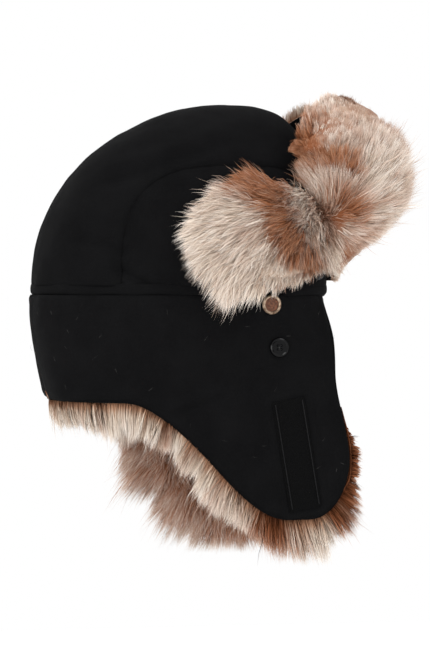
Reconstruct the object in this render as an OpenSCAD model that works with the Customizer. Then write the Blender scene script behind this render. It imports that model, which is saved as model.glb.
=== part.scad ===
/* [Crown] */
// Half width of the crown at the band seam
crown_half_w = 88; // [84:1:92]
// Height of the dome above its lower edge
crown_h = 139.5; // [130:0.5:145]
// Reach of the dome from its widest line back to the nape
crown_back = 149; // [144:1:152]
// Reach of the dome from its widest line forward to the brow
crown_front = 78; // [75:1:82]
// Height of each side panel above the crown's lower edge
side_panel_h = 91; // [80:1:100]
// Reach of each side panel back from the widest line
side_panel_rear = 94; // [80:1:98]
// Reach of each side panel forward from the widest line
side_panel_front = 75; // [70:1:76]

/* [Curtain] */
// Depth of the neck hem below the band seam
neck_depth = 86; // [80:1:90]
// Depth of the ear flap tips below the band seam
flap_depth = 179; // [165:1:190]
// Half width of the hat across the ear flaps
side_half_w = 84; // [82:1:86]
// Inward lean of the ear flaps, sideways per unit of drop
flap_lean = 0.08; // [0:0.01:0.12]
// How far the neck hem tucks in under the nape
nape_tuck = 16; // [8:1:18]

/* [Layers] */
// Thickness of the shell cloth
cloth_t = 1.4; // [1:0.1:1.6]
// Thickness of the wadding
wadding_t = 3; // [2:0.5:3.5]
// Thickness of the fur pile inside the curtain
pile_t = 14; // [8:1:16]
// Thickness of the fur pile on the visor
visor_pile_t = 20; // [12:1:26]
// How far the pile stands below the hems
fringe = 12; // [6:1:16]

/* [Visor] */
// How far the middle of the visor bulges off the crown
visor_bulge = 46; // [25:1:50]
// Half length of each wing
wing_half_len = 44; // [30:1:46]
// Half height of each wing
wing_half_h = 36; // [26:1:37]

/* [Fastenings] */
// Diameter of the buttons
button_d = 15; // [13:0.5:16]
// Diameter of the snap rings
snap_d = 15; // [13:0.5:16]
// Width of the hook and loop strips
strip_w = 25; // [20:1:27]
// Length of the loop strip
strip_len = 84; // [70:1:86]

/* [Hidden] */

// The hat faces -Y and stands on no base: Z = 0 is the band seam, and the origin is the middle of the
// opening there. "Forward" below is -Y. The wearer's left side is +X (side = 1), the right is -X (side = -1).
left = 1;
right = -1;
crown_mid = 34;      // the dome's widest line, forward of the origin
crown_base = 3.5;    // the crown starts this far above the band seam and the curtain as far below it
nape_n = 2.05;       // exponents of the dome's side outline
brow_n = 3.1;
back_m = 2.4;        // exponents of its plan and cross sections
front_m = 2.3;
top_m = 2.3;
seam_m = 3;          // exponent of the side panel's outline
seam_gap = 0.25;
seam_corner = 30;    // angle at which the side panel's grid turns its corners
layer_gap = 0.3;
wadding_in = cloth_t + layer_gap;
lining_in = wadding_in + wadding_t + layer_gap;
lining_t = 1;
fur_in = lining_in + 0.3;

fold_rear = -42;     // the ear flap folds on a line that starts here, forward of the origin
fold_drop = 88;      // depth of that line at its rear end
fold_rise = 0.09;    // its rise towards the front
fold_gap = 0.8;
fold_bevel = 0.36;   // the soft layers draw back from the fold by this much per unit of depth
back_m_low = 3.2;    // plan exponents and front reach at the fold's depth
front_m_low = 3;
side_reach = 170;
seam_step = 1.5;
tip_start = 84;      // the flap's tip is flat up to here, then turns up an ellipse to its front corner
tip_front = 118;
tip_corner_z = -131;

psi_top = 68;        // the visor covers the crown's front from the brow up to this angle
wing_mid = [10, 38];

button_t = 3;
thread_r = 0.45;

function mix(a, b, t) = a + (b - a) * t;
function smooth(t) = let (c = max(0, min(1, t))) c * c * (3 - 2 * c);
function power(a, m) = sign(a) * pow(abs(a), m);
function unit(v) = v / norm(v);
function flip(p, side) = [side * p[0], p[1], p[2]];

// ---- Crown surface: psi runs from 0 at the brow over 90 at the top to 180 at the nape, s from 0 at the
// widest line to 1 at the centre line, and d is the depth of a layer below the outer face
function crown_reach(psi, d) =
    let (a = (cos(psi) >= 0 ? crown_front : crown_back) - d)
    let (n = cos(psi) >= 0 ? brow_n : nape_n)
    pow(pow(abs(cos(psi)) / a, n) + pow(abs(sin(psi)) / (crown_h - d), n), -1 / n);

function crown_point(side, psi, s, d) =
    let (r = s * crown_reach(psi, d))
    let (m = mix(top_m, cos(psi) >= 0 ? front_m : back_m, pow(cos(psi), 2)))
    let (x = (crown_half_w - d) * pow(max(0, 1 - pow(s, m)), 1 / m))
    [side * x, -crown_mid - r * cos(psi), crown_base + r * sin(psi)];

// A point on the crown above q = [forward of the widest line, up from the crown's edge]
function crown_above(side, q, d) =
    let (psi = atan2(q[1], q[0]))
    crown_point(side, psi, norm(q) / crown_reach(psi, 0), d);

function crown_normal_above(side, q) =
    let (e = 2)
    let (df = crown_above(1, q + [e, 0], 0) - crown_above(1, q - [e, 0], 0))
    let (dz = crown_above(1, q + [0, e], 0) - crown_above(1, q - [0, e], 0))
    flip(unit(cross(dz, df)), side);

// ---- Side panel outline and grid
function seam_point(psi, gap) =
    let (c = abs(cos(psi)) / (cos(psi) >= 0 ? side_panel_front : side_panel_rear))
    let (s = abs(sin(psi)) / side_panel_h)
    (pow(pow(c, seam_m) + pow(s, seam_m), -1 / seam_m) + gap) * [cos(psi), sin(psi)];

function side_patch(p, v) =
    let (base = mix(seam_point(180, -seam_gap), seam_point(0, -seam_gap), p))
    let (top = seam_point(mix(180 - seam_corner, seam_corner, p), -seam_gap))
    let (rear = seam_point(180 - seam_corner * v, -seam_gap))
    let (front = seam_point(seam_corner * v, -seam_gap))
    let (high = mix(seam_point(180 - seam_corner, -seam_gap), seam_point(seam_corner, -seam_gap), p))
    mix(base, top, v) + mix(rear, front, p) - mix(base, high, v);

// ---- Curtain surface: eta is 90 at the nape, 0 at the widest line and negative in front of it
function drop(z) = smooth(-z / fold_drop);
function curtain_w(z) = mix(crown_half_w, side_half_w, drop(z)) - flap_lean * max(0, -z - fold_drop);
function curtain_back(z) = crown_back + seam_step - nape_tuck * pow(max(0, min(1, -z / fold_drop)), 2.2);
function curtain_front(z) = mix(crown_front, side_reach, drop(z));
function curtain_m(eta, z) =
    eta > 0 ? mix(back_m, back_m_low, drop(z)) : mix(front_m, front_m_low, drop(z));

function curtain_face(eta, z) =
    let (e = 2 / curtain_m(eta, z))
    let (reach = eta > 0 ? curtain_back(z) : -curtain_front(z))
    [curtain_w(z) * power(cos(eta), e), -crown_mid + reach * pow(abs(sin(eta)), e), z];

function curtain_normal(eta, z) =
    unit(cross(curtain_face(eta + 2, z) - curtain_face(eta - 2, z),
               curtain_face(eta, z + 1) - curtain_face(eta, z - 1)));

function curtain_point(side, eta, z, d) = flip(curtain_face(eta, z) - d * curtain_normal(eta, z), side);

// The angle at which the curtain is f forward of the origin
function curtain_eta(f, z) =
    let (reach = f < crown_mid ? curtain_back(z) : curtain_front(z))
    let (m = curtain_m(crown_mid - f, z))
    sign(crown_mid - f) * asin(pow(min(1, abs(f - crown_mid) / reach), m / 2));

function front_edge(z) = 102 + 3 * smooth(-z / 40) + 13 * smooth((-z - 60) / 70);
function fold_z(f) = -fold_drop + fold_rise * (f - fold_rear);

// ---- Closed solid between an outer and an inner grid of points
module slab(outer, inner, side = left) {
    cols = len(outer[0]);
    last = len(outer) - 1;
    n = (last + 1) * cols;
    skins = [
        for (i = [0 : last - 1])
            for (j = [0 : cols - 2])
                let (a = i * cols + j)
                each [
                    [a, a + 1, a + cols + 1], [a, a + cols + 1, a + cols],
                    [n + a, n + a + cols + 1, n + a + 1], [n + a, n + a + cols, n + a + cols + 1]
                ]
    ];
    ends = [
        for (j = [0 : cols - 2])
            let (a = j, b = last * cols + j)
            each [
                [a, n + a + 1, a + 1], [a, n + a, n + a + 1],
                [b, b + 1, n + b + 1], [b, n + b + 1, n + b]
            ]
    ];
    sides = [
        for (i = [0 : last - 1])
            let (a = i * cols, b = i * cols + cols - 1)
            each [
                [a, a + cols, n + a + cols], [a, n + a + cols, n + a],
                [b, n + b + cols, b + cols], [b, n + b, n + b + cols]
            ]
    ];
    faces = concat(skins, ends, sides);
    turned = [for (f = faces) [f[2], f[1], f[0]]];
    points = concat([for (row = outer) each row], [for (row = inner) each row]);
    polyhedron(points, side == left ? faces : turned, convexity = 6);
}

// ---- Crown layers
module centre_layer(d, t) {
    function grid(d) = [
        for (psi = [180 : -7.5 : 0])
            [
                for (u = [-1 : 0.2 : 1.001])
                    let (s0 = norm(seam_point(psi, seam_gap)) / crown_reach(psi, 0))
                    crown_point(u < 0 ? right : left, psi, 1 - (1 - s0) * u * u, d)
            ]
    ];
    slab(grid(d), grid(d + t));
}

module side_layer(side, d, t) {
    function grid(d) = [
        for (v = [0 : 0.25 : 1]) [for (p = [0 : 1 / 16 : 1.001]) crown_above(side, side_patch(p, v), d)]
    ];
    slab(grid(d), grid(d + t), side);
}

// ---- Curtain layers: column c runs from -1 at the right front edge over 0 at the nape to 1 at the left
function column_eta(c, z) =
    let (a = abs(c), rear = curtain_eta(fold_rear, -neck_depth))
    a <= 0.5 ? mix(90, rear, a / 0.5)
    : a <= 0.7 ? mix(rear, 0, (a - 0.5) / 0.2)
    : mix(0, curtain_eta(front_edge(z), z), (a - 0.7) / 0.3);

function column_bottom(c, d, below) =
    let (a = abs(c), z = -fold_drop + 3)
    let (f = -curtain_face(column_eta(c, z), z)[1])
    a < 0.49 ? -neck_depth - below : fold_z(f) + fold_gap + fold_bevel * d;

module curtain_layer(d, t, below = 0) {
    columns = concat([-1 : 0.05 : -0.69], [-0.65 : 0.05 : 0.651], [0.7 : 0.05 : 1.001]);
    function grid(d) = [
        for (v = [0 : 0.2 : 1.001])
            [
                for (c = [-20 : 20])
                    let (z = mix(-crown_base, column_bottom(c / 20, d, below), v))
                    curtain_point(c < 0 ? right : left, column_eta(c / 20, z), z, d)
            ]
    ];
    slab(grid(d + t), grid(d));
}

// ---- Ear flap layers: p runs along the fold from rear to front, v from the fold down to the hem
function hem_depth(f) = fold_drop + (flap_depth - fold_drop) * smooth((f + 58) / 126);

function hem_point(p, grow) =
    let (turn = 0.72, a = 90 * (p - turn) / (1 - turn))
    let (f = mix(fold_rear + 4, tip_start, p / turn))
    let (depth = flap_depth + grow + tip_corner_z)
    p < turn ? [f, -hem_depth(f) - grow]
    : [tip_start + (tip_front - tip_start + grow / 2) * sin(a), tip_corner_z - depth * cos(a)];

function flap_row(p, v, d, grow) =
    let (f = mix(fold_rear + 4, front_edge(-80), p))
    mix([f, fold_z(f) - fold_gap - fold_bevel * d], hem_point(p, grow), v);

function flap_at(side, q, d) = curtain_point(side, curtain_eta(q[0], q[1]), q[1], d);

module flap_layer(side, d, t, grow = 0) {
    function grid(d) = [
        for (v = [0 : 1 / 6 : 1.001])
            [for (p = [0 : 1 / 14 : 1.001]) flap_at(side, flap_row(p, v, d, grow), d)]
    ];
    slab(grid(d + t), grid(d), side);
}

// ---- Visor: u runs from -1 at the right corner to 1 at the left, v from the brow up to the free edge
function visor_psi(u, v) = mix(3 + 13 * pow(abs(u), 4), psi_top, v);

function visor_base(u, v) =
    let (psi = visor_psi(u, v), edge = mix(0.87, 0.76, smooth(2 * v)))
    crown_point(u < 0 ? right : left, psi, 1 - (1 - edge) * u * u, 0);

// The visor stands off the crown along the crown's normal, laid flatter towards the front
function visor_out(u, v) =
    let (e = 0.03)
    let (du = visor_base(u + e, v) - visor_base(u - e, v))
    let (dv = visor_base(u, v + e) - visor_base(u, v - e))
    let (n = unit(cross(du, dv)))
    unit([n[0], n[1], n[2] * 0.4]);

function visor_point(u, v, d) =
    let (off = 2.5 + visor_bulge * sin(130 * pow(max(0, v), 1.5)) * pow(1 - u * u, 0.8) + 10 * v * u * u)
    visor_base(u, v) + (off + d) * visor_out(u, v);

module visor_layer(d, t) {
    function pile(v) = (0.1 + 0.9 * smooth(2 * v)) * (1 - 0.3 * smooth(5 * v - 4));
    function grid(d, t) = [
        for (v = [0 : 1 / 8 : 1.001]) [for (u = [-1 : 0.125 : 1.001]) visor_point(u, v, d + t * pile(v))]
    ];
    function sheet(d) = [
        for (v = [0 : 1 / 8 : 1.001]) [for (u = [-1 : 0.125 : 1.001]) visor_point(u, v, d)]
    ];
    slab(t > 5 ? grid(d, t) : sheet(d + t), sheet(d));
}

// ---- Wings: a round patch of the crown's side, from a square grid drawn onto a disc
function wing_spot(a, b) =
    wing_mid + [wing_half_len * a * sqrt(1 - b * b / 2), wing_half_h * b * sqrt(1 - a * a / 2)];

module wing_layer(side, d, t) {
    function grid(d) = [
        for (b = [-1 : 1 / 3 : 1.001])
            [
                for (a = [-1 : 0.25 : 1.001])
                    let (q = wing_spot(a, b))
                    crown_above(side, q, 0) + d * crown_normal_above(side, q)
            ]
    ];
    slab(grid(d), grid(d + t), side);
}

// ---- Small pieces sit on the cloth, with their own +Z along its normal
module on_surface(p, n, turn = 0)
    translate(p) rotate([0, acos(n[2]), atan2(n[1], n[0])]) rotate([0, 0, turn]) children();

module on_crown(side, q, lift)
    on_surface(crown_above(side, q, 0) + lift * crown_normal_above(side, q), crown_normal_above(side, q))
        children();

module on_curtain(side, f, z, lift)
    on_surface(flap_at(side, [f, z], -lift), flip(curtain_normal(curtain_eta(f, z), z), side)) children();

module four_hole_button() {
    difference() {
        rotate_extrude($fn = 48)
            polygon([
                [0, 0.4], [4.6, 0], [button_d / 2 - 0.8, 0.6], [button_d / 2, 1.5],
                [button_d / 2 - 0.5, 2.6], [button_d / 2 - 1.4, button_t], [button_d / 2 - 2.2, 2.4],
                [0, 2]
            ]);
        for (x = [-1.4, 1.4])
            for (y = [-1.4, 1.4])
                translate([x, y, -1]) cylinder(r = 0.9, h = 5, $fn = 24);
    }
}

// Two stitches over the top of the button and four legs down to the cloth
module button_thread() {
    for (x = [-1.4, 1.4]) {
        translate([x, -1.4, 2.7]) rotate([-90, 0, 0]) cylinder(r = thread_r, h = 2.8, $fn = 16);
        for (y = [-1.4, 1.4])
            translate([x, y, -0.3]) cylinder(r = thread_r, h = 3, $fn = 16);
    }
}

module snap_ring() {
    rotate_extrude($fn = 48)
        polygon([
            [snap_d / 2 - 2.1, 0], [snap_d / 2 - 0.3, 0], [snap_d / 2, 0.8],
            [snap_d / 2 - 0.6, 1.9], [snap_d / 2 - 1.3, 2.2], [snap_d / 2 - 2.1, 1.6]
        ]);
}

module snap_disc() {
    rotate_extrude($fn = 48) polygon([[0, 0.2], [snap_d / 2 - 2.2, 0.2], [snap_d / 2 - 2.2, 0.9], [0, 1.3]]);
}

// The post passes through the cloth and is clenched over a round back plate in the wadding
module snap_post() {
    translate([0, 0, -4]) cylinder(r = 5.5, h = 1, $fn = 48);
    translate([0, 0, -3.2]) cylinder(r = 1.8, h = 3.3, $fn = 32);
}

// ---- Strips on the flap: a runs across, b down from the top end
strip_top = [65.5, -82];
strip_slant = 10.5;
function strip_spot(a, b, inset) =
    let (down = [sin(strip_slant), -cos(strip_slant)], across = [cos(strip_slant), sin(strip_slant)])
    strip_top + inset * down + across * a + down * b;

module strip_layer(side, a0, a1, b0, b1, d, t) {
    function grid(d) = [
        for (b = [0 : 1 / 8 : 1.001])
            [for (a = [0 : 0.25 : 1]) flap_at(side, strip_spot(mix(a0, a1, a), mix(b0, b1, b), 0), d)]
    ];
    slab(grid(d + t), grid(d), side);
}

module strip_seams(side, b0, b1, d) {
    for (a = [-1, 1]) {
        edge = a * (strip_w / 2 - 2);
        strip_layer(side, edge - 0.4, edge + 0.4, b0 + 2, b1 - 2, d, 0.5);
    }
}

// ---- Nodes
black = [0.06, 0.06, 0.065];
fur = [0.78, 0.7, 0.63];
module crown_centre_panel() { color(black) centre_layer(0, cloth_t); }
module crown_side_panel(side) { color(black) side_layer(side, 0, cloth_t); }
module crown_wadding_centre() { color("ivory") centre_layer(wadding_in, wadding_t); }
module crown_wadding(side) { color("ivory") side_layer(side, wadding_in, wadding_t); }
module crown_lining_centre() { color("dimgray") centre_layer(lining_in, lining_t); }
module crown_lining(side) { color("dimgray") side_layer(side, lining_in, lining_t); }
module seam_tape() {
    function ring(w, z) = [
        for (a = [0 : 7.5 : 359])
            let (m = cos(a) < 0 ? front_m : back_m, e = 2 / m, reach = cos(a) < 0 ? crown_front : crown_back)
            [(crown_half_w - w) * power(sin(a), e), -crown_mid + (reach - w) * power(cos(a), e), z]
    ];
    color(black) difference() {
        translate([0, 0, -3.2]) linear_extrude(6.4) polygon([for (p = ring(1.6, 0)) [p[0], p[1]]]);
        translate([0, 0, -5]) linear_extrude(10) polygon([for (p = ring(4, 0)) [p[0], p[1]]]);
    }
}
module curtain_shell() { color(black) curtain_layer(0, cloth_t); }
module curtain_wadding() { color("ivory") curtain_layer(wadding_in, wadding_t, -3); }
module curtain_fur() { color(fur) curtain_layer(fur_in, pile_t, fringe); }
module visor_wing_shell(side) { color(black) wing_layer(side, 1.5, cloth_t); }
module visor_wing_fur(side) { color(fur) wing_layer(side, 3.3, visor_pile_t); }
module visor_tack(side) {
    color(black) on_crown(side, [57.5, 30], 0.3) cylinder(r = 0.7, h = 6, $fn = 24);
}
snap_spot = [52, -10.5];
cheek_spot = [58, -42.5];
corner_spot = [58, 12];
module snap_cap(side) {
    color([0.55, 0.45, 0.3]) on_curtain(side, snap_spot[0], snap_spot[1], 0.9) snap_ring();
}
module snap_centre(side) {
    color([0.41, 0.29, 0.23]) on_curtain(side, snap_spot[0], snap_spot[1], 0.9) snap_disc();
}
module snap_back(side) {
    color([0.5, 0.42, 0.3]) on_curtain(side, snap_spot[0], snap_spot[1], 0.9) snap_post();
}
module cheek_button(side) {
    color(black) on_curtain(side, cheek_spot[0], cheek_spot[1], 0.9) four_hole_button();
}
module cheek_thread(side) {
    color(black) on_curtain(side, cheek_spot[0], cheek_spot[1], 0.9) button_thread();
}
module corner_button(side) { color(black) on_crown(side, corner_spot, 1) four_hole_button(); }
module corner_thread(side) { color(black) on_crown(side, corner_spot, 1) button_thread(); }
module visor_shell() { color(black) visor_layer(0, cloth_t); }
module visor_interlining() { color("ivory") visor_layer(cloth_t + layer_gap, 2); }
module visor_fur() { color(fur) visor_layer(cloth_t + 2 + 2 * layer_gap, visor_pile_t); }
module ear_flap_shell(side) { color(black) flap_layer(side, 0, cloth_t); }
module ear_flap_wadding(side) { color("ivory") flap_layer(side, wadding_in, wadding_t, -2); }
module ear_flap_fur(side) { color(fur) flap_layer(side, fur_in, pile_t, fringe); }
module loop_strip() {
    color([0.04, 0.04, 0.04]) strip_layer(right, -strip_w / 2, strip_w / 2, 0, strip_len, -1.9, 1.6);
}
module loop_strip_stitching() { color("gray") strip_seams(right, 0, strip_len, -2.5); }
module hook_strip() {
    color([0.04, 0.04, 0.04])
        strip_layer(left, -strip_w / 2, strip_w / 2, 22, strip_len - 2, fur_in + pile_t + 0.3, 1.2);
}
module hook_strip_stitching() {
    color("gray") strip_seams(left, 22, strip_len - 2, fur_in + pile_t + 1.6);
}

crown_centre_panel();
crown_side_panel(right);  // crown_side_panel_right
crown_side_panel(left);  // crown_side_panel_left
crown_wadding_centre();
crown_wadding(right);  // crown_wadding_right
crown_wadding(left);  // crown_wadding_left
crown_lining_centre();
crown_lining(right);  // crown_lining_right
crown_lining(left);  // crown_lining_left
seam_tape();
curtain_shell();
curtain_wadding();
curtain_fur();
visor_wing_shell(right);  // visor_wing_shell_right
visor_wing_shell(left);  // visor_wing_shell_left
visor_wing_fur(right);  // visor_wing_fur_right
visor_wing_fur(left);  // visor_wing_fur_left
visor_tack(right);  // visor_tack_right
visor_tack(left);  // visor_tack_left
snap_cap(right);  // snap_cap_right
snap_cap(left);  // snap_cap_left
snap_centre(right);  // snap_centre_right
snap_centre(left);  // snap_centre_left
snap_back(right);  // snap_back_right
snap_back(left);  // snap_back_left
cheek_button(right);  // cheek_button_right
cheek_button(left);  // cheek_button_left
cheek_thread(right);  // cheek_thread_right
cheek_thread(left);  // cheek_thread_left
corner_button(right);  // corner_button_right
corner_button(left);  // corner_button_left
corner_thread(right);  // corner_thread_right
corner_thread(left);  // corner_thread_left
visor_shell();
visor_interlining();
visor_fur();
ear_flap_shell(right);  // ear_flap_shell_right
ear_flap_wadding(right);  // ear_flap_wadding_right
ear_flap_fur(right);  // ear_flap_fur_right
loop_strip();
loop_strip_stitching();
ear_flap_shell(left);  // ear_flap_shell_left
ear_flap_wadding(left);  // ear_flap_wadding_left
ear_flap_fur(left);  // ear_flap_fur_left
hook_strip();
hook_strip_stitching();
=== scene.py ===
import bpy
import numpy as np
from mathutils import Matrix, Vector, kdtree


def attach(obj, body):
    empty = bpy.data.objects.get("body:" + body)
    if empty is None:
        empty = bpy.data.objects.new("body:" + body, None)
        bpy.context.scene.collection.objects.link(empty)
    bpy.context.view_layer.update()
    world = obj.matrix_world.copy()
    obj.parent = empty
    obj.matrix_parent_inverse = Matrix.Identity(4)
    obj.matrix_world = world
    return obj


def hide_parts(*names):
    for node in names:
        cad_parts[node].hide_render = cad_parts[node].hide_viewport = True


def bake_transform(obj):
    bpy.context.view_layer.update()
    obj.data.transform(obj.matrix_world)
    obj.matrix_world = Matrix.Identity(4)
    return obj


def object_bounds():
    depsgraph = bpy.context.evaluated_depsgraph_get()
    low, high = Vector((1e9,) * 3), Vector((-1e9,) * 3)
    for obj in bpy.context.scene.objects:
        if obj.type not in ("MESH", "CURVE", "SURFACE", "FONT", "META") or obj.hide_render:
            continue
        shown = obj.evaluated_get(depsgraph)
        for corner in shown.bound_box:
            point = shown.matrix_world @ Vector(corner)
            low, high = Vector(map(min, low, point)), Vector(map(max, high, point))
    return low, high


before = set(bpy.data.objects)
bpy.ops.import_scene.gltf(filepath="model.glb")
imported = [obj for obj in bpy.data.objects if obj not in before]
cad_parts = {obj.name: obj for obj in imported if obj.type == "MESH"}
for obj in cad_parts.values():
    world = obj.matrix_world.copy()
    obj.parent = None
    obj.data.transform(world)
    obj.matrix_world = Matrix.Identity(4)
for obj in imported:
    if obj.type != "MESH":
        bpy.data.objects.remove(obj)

cad_box = [list(v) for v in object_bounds()]
low, high = np.array(cad_box[0]) * 1000, np.array(cad_box[1]) * 1000
SHARE, MARGIN = 0.03, 9.0  # the room that the strands are kept within: the CAD box, this much larger
LIMITS = low - SHARE * (high - low) - MARGIN, high + SHARE * (high - low) + MARGIN

# ---- The hat's surfaces, in millimetres, as the CAD defines them
RIGHT, LEFT = -1, 1
SIDES = ((RIGHT, "right"), (LEFT, "left"))
HALF_W, CROWN_H, BACK, FRONT, MID, BASE = 88.0, 139.5, 149.0, 78.0, 34.0, 3.5
PANEL_FRONT, PANEL_REAR, PANEL_H, SEAM_M = 75.0, 94.0, 91.0, 3.0
FOLD_REAR, FOLD_DROP, FOLD_RISE = -42.0, 88.0, 0.09
NECK, FLAP, FOLD_HALF_W, FOLD_FRONT, FRONT_EDGE = 86.0, 179.0, 84, 170, 102
FLAP_REAR, HEM_START, HEM_RUN = FOLD_REAR + 4, -58, 126
REAR_SQUARE, FRONT_SQUARE = (2.4, 3.2), (2.3, 3.0)  # the outline's exponents at the crown and at the fold
TIP_START, TIP_FRONT, TIP_Z, TURN = 84.0, 118.0, -131.0, 0.72
VISOR_GAP, VISOR_BULGE, VISOR_LEAN = 2.5, 46, 10


def mix(a, b, t):
    return a + (b - a) * t


def smooth(t):
    t = np.clip(t, 0, 1)
    return t * t * (3 - 2 * t)


def unit(v):
    return v / np.maximum(np.linalg.norm(v, axis=-1, keepdims=True), 1e-9)


def stack(*a):
    return np.stack(np.broadcast_arrays(*a), axis=-1)


def crown_reach(psi, d=0.0):
    """The crown's outline in side view at the angle psi, at a depth d below its face"""
    c, s = np.cos(psi), np.sin(psi)
    n = np.where(c >= 0, 3.1, 2.05)
    return ((abs(c) / (np.where(c >= 0, FRONT, BACK) - d)) ** n + (abs(s) / (CROWN_H - d)) ** n) ** (-1 / n)


def crown_point(side, psi, s, d=0.0):
    """A point of the crown; s runs from 0 on the side of the head to 1 on the centre line"""
    r = s * crown_reach(psi, d)
    m = mix(2.3, np.where(np.cos(psi) >= 0, 2.3, 2.4), np.cos(psi) ** 2)
    x = (HALF_W - d) * np.maximum(0, 1 - s ** m) ** (1 / m)
    return stack(side * x, -MID - r * np.cos(psi), BASE + r * np.sin(psi))


def crown_above(side, f, z, d=0.0):
    """The crown above a point f forward of its widest line and z up from its edge"""
    psi = np.arctan2(z, f)
    return crown_point(side, psi, np.hypot(f, z) / crown_reach(psi), d)


def seam_radius(psi):
    """The seam round a side panel, in side view, at the angle psi up from the front"""
    c = abs(np.cos(psi)) / np.where(np.cos(psi) >= 0, PANEL_FRONT, PANEL_REAR)
    s = abs(np.sin(psi)) / PANEL_H
    return (c ** SEAM_M + s ** SEAM_M) ** (-1 / SEAM_M)


def drop(z):
    """0 at the crown's edge and 1 at the fold"""
    return smooth(-z / FOLD_DROP)


def curtain_reach(back, z):
    """How far the curtain reaches behind or before its widest line, and how square its outline is there"""
    rear = BACK + 1.5 - 16 * np.clip(-z / FOLD_DROP, 0, 1) ** 2.2
    reach = np.where(back, rear, mix(FRONT, FOLD_FRONT, drop(z)))
    return reach, np.where(back, mix(*REAR_SQUARE, drop(z)), mix(*FRONT_SQUARE, drop(z)))


def curtain_face(eta, z):
    """The curtain's outer face round the head; eta is 90 degrees at the nape and 0 where it is widest"""
    back = eta > 0
    reach, m = curtain_reach(back, z)
    e = 2 / m
    w = mix(HALF_W, FOLD_HALF_W, drop(z)) - 0.08 * np.maximum(0, -z - FOLD_DROP)
    reach = np.where(back, reach, -reach)
    return stack(w * abs(np.cos(eta)) ** e, -MID + reach * abs(np.sin(eta)) ** e, z + 0 * eta)


def curtain_eta(f, z):
    """The eta of the point that lies f in front of the origin"""
    reach, m = curtain_reach(f < MID, z)
    return np.sign(MID - f) * np.arcsin(np.minimum(1, abs(f - MID) / reach) ** (m / 2))


def curtain_normal(eta, z):
    e = np.deg2rad(2)
    n = np.cross(curtain_face(eta + e, z) - curtain_face(eta - e, z),
                 curtain_face(eta, z + 1) - curtain_face(eta, z - 1))
    return unit(n)


def curtain_point(side, eta, z):
    return curtain_face(eta, z) * [side, 1, 1]


def front_edge(z):
    """How far forward the curtain's front edge lies at height z"""
    return FRONT_EDGE + 3 * smooth(-z / 40) + 13 * smooth((-z - 60) / 70)


def fold_z(f):
    """The height of the ear flap's fold, which rises towards the front"""
    return -FOLD_DROP + FOLD_RISE * (f - FOLD_REAR)


def hem_drop(f):
    """How far the hem hangs below the crown's edge, from the neck to the flap's tip"""
    return NECK + (FLAP - NECK) * smooth((f - HEM_START) / HEM_RUN)


def hem(p, past=0.0):
    """The ear flap's hem from its rear end at p = 0 round the tip to the front corner at p = 1"""
    past = past * mix(0.3, 1, smooth(p / 0.3))
    f = mix(FLAP_REAR, TIP_START, np.minimum(p, TURN) / TURN)
    a = np.pi / 2 * np.clip((p - TURN) / (1 - TURN), 0, 1)
    z = np.where(p < TURN, -hem_drop(f) - past, TIP_Z - (FLAP + past + TIP_Z) * np.cos(a))
    return np.where(p < TURN, f, TIP_START + (TIP_FRONT - TIP_START + past / 2) * np.sin(a)), z


def visor_base(u, v):
    """The crown under the visor: u from end to end, v from the brow up"""
    psi = np.deg2rad(mix(3 + 13 * abs(u) ** 4, 68, v))
    edge = mix(0.87, 0.76, smooth(2 * v))
    return crown_point(np.where(u < 0, -1.0, 1.0), psi, 1 - (1 - edge) * u * u)


def visor_point(u, v):
    """The visor's outer face, bulging most in its middle"""
    e = 0.03
    n = unit(np.cross(visor_base(u + e, v) - visor_base(u - e, v),
                      visor_base(u, v + e) - visor_base(u, v - e)))
    out = unit(n * [1, 1, 0.4])
    bulge = np.sin(np.deg2rad(130) * np.maximum(0, v) ** 1.5) * np.maximum(0, 1 - u * u) ** 0.8
    off = VISOR_GAP + VISOR_BULGE * bulge + VISOR_LEAN * v * u * u
    return visor_base(u, v) + off[..., None] * out


def grid_normals(p, centre):
    n = unit(np.cross(np.gradient(p, axis=0), np.gradient(p, axis=1)))
    flip = np.sign(np.sum(n * (p - centre), axis=-1).mean())
    return n * flip


def clearance(node, p):
    """The distance from each point of a grid to a CAD piece"""
    flat = p.reshape(-1, 3) * 0.001
    near = np.array([node.closest_point_on_mesh(Vector(q))[1] for q in flat])
    return 1000 * np.linalg.norm(near - flat, axis=1).reshape(p.shape[:2])


def under_trim(p, *names):
    """1 where the cloth lies under one of the named CAD pieces, falling to 0 away from them"""
    return np.max([smooth((9 - clearance(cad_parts[name], p)) / 5) for name in names], axis=0)


# ---- Noise: a hashed value at each corner of a grid of cubes, blended smoothly between the corners
HASH_X, HASH_Y, HASH_Z, HASH_SEED = 374761393, 668265263, 1442695041, 1274126177
LOW_32_BITS = 0xFFFFFFFF


def lattice(i, seed):
    """A value from -1 to 1 for each integer corner"""
    h = i[..., 0] * HASH_X + i[..., 1] * HASH_Y + i[..., 2] * HASH_Z + seed * HASH_SEED
    h = h & LOW_32_BITS
    h = ((h ^ (h >> 13)) * HASH_SEED) & LOW_32_BITS
    return ((h ^ (h >> 16)) & 0xFFFF) / 32767.5 - 1


def noise(p, size, seed=0):
    q = p / size
    i = np.floor(q).astype(np.int64)
    f = q - i
    f = f * f * (3 - 2 * f)
    out = 0
    for dx in (0, 1):
        for dy in (0, 1):
            for dz in (0, 1):
                k = np.array([dx, dy, dz])
                w = np.prod(np.where(k == 1, f, 1 - f), axis=-1)
                out = out + w * lattice(i + k, seed)
    return out


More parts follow.
